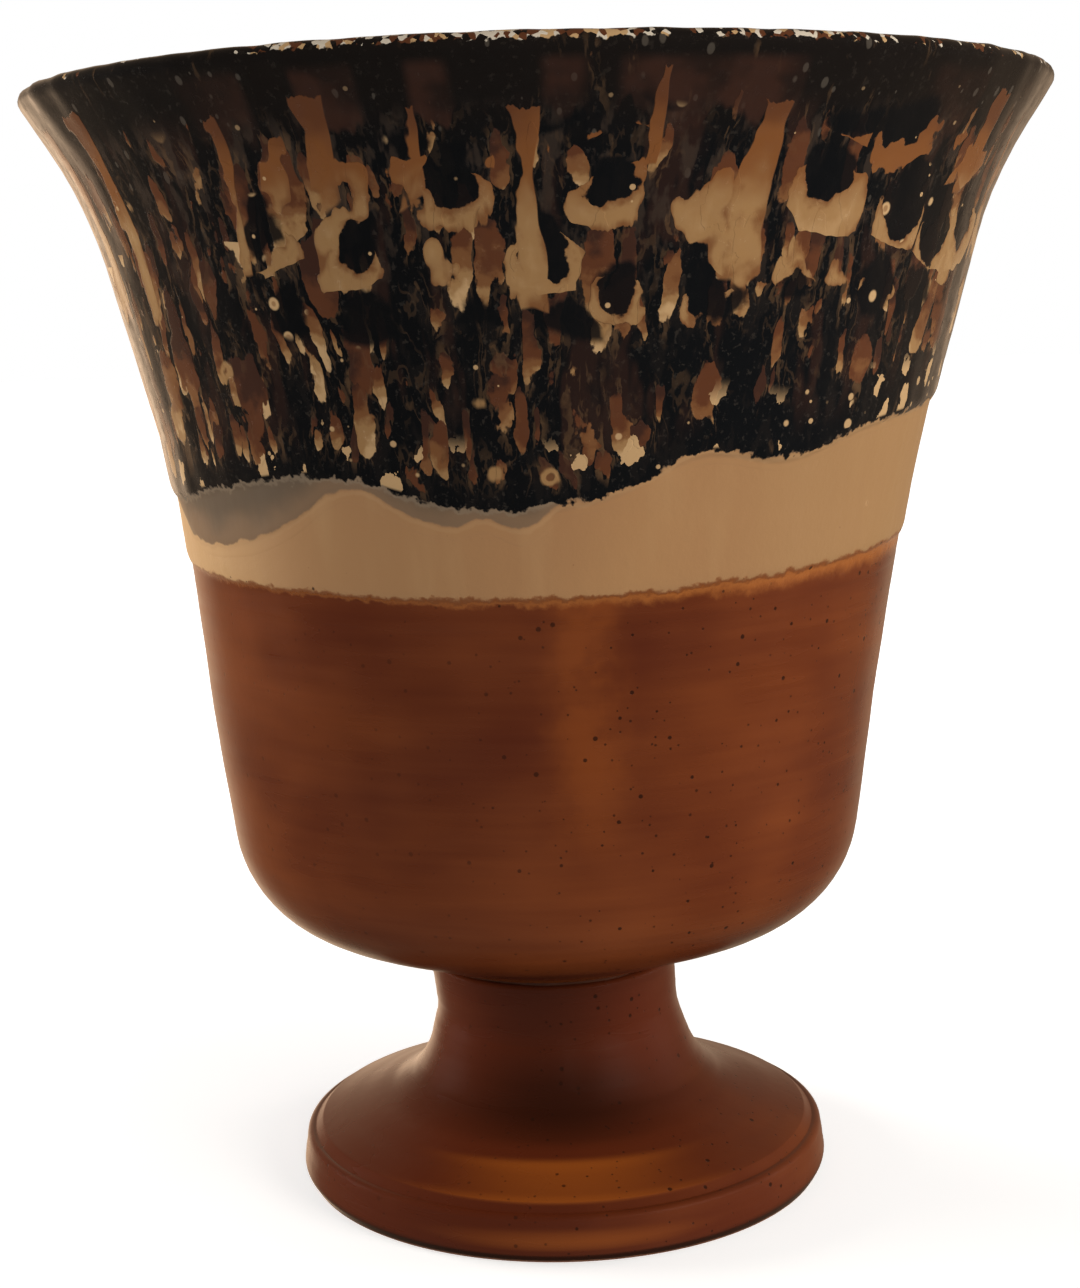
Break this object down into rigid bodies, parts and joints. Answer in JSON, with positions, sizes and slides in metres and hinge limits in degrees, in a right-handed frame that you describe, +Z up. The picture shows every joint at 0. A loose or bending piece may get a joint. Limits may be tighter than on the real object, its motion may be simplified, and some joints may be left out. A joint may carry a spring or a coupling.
{
  "type": "pythagorean cup",
  "caption": "Footed glazed cup with a flared bowl and a hollow column inside it, whose siphon drains the bowl through the foot when it is filled past a line.",
  "frame": {"origin": "centre of the foot ring, on the table", "axes": "+Z up along the cup's axis, -Y towards the front that the picture shows, +X to its right"},
  "size_m": [0.09, 0.09, 0.1],
  "materials": {
    "amber_glaze": "glossy iron-red to amber glaze with dark iron specks",
    "foot_glaze": "darker pooled amber glaze on the pedestal",
    "cream_glaze": "satin tan-cream dip with a rusty lower edge",
    "mottled_glaze": "glossy near-black reactive glaze broken by tan, caramel and rust runs",
    "bare_clay": "unglazed fired red earthenware",
    "fired_slip": "fired slip wiped into the joints, under the glaze"
  },
  "bodies": {
    "root": {"bowl": "amber_glaze", "pedestal": "foot_glaze", "stem_slip": "fired_slip", "standpipe": "bare_clay", "standpipe_slip": "fired_slip", "siphon_column": "amber_glaze", "column_slip": "fired_slip", "cream_coat": "cream_glaze", "mottled_coat": "mottled_glaze"}
  },
  "joints": []
}
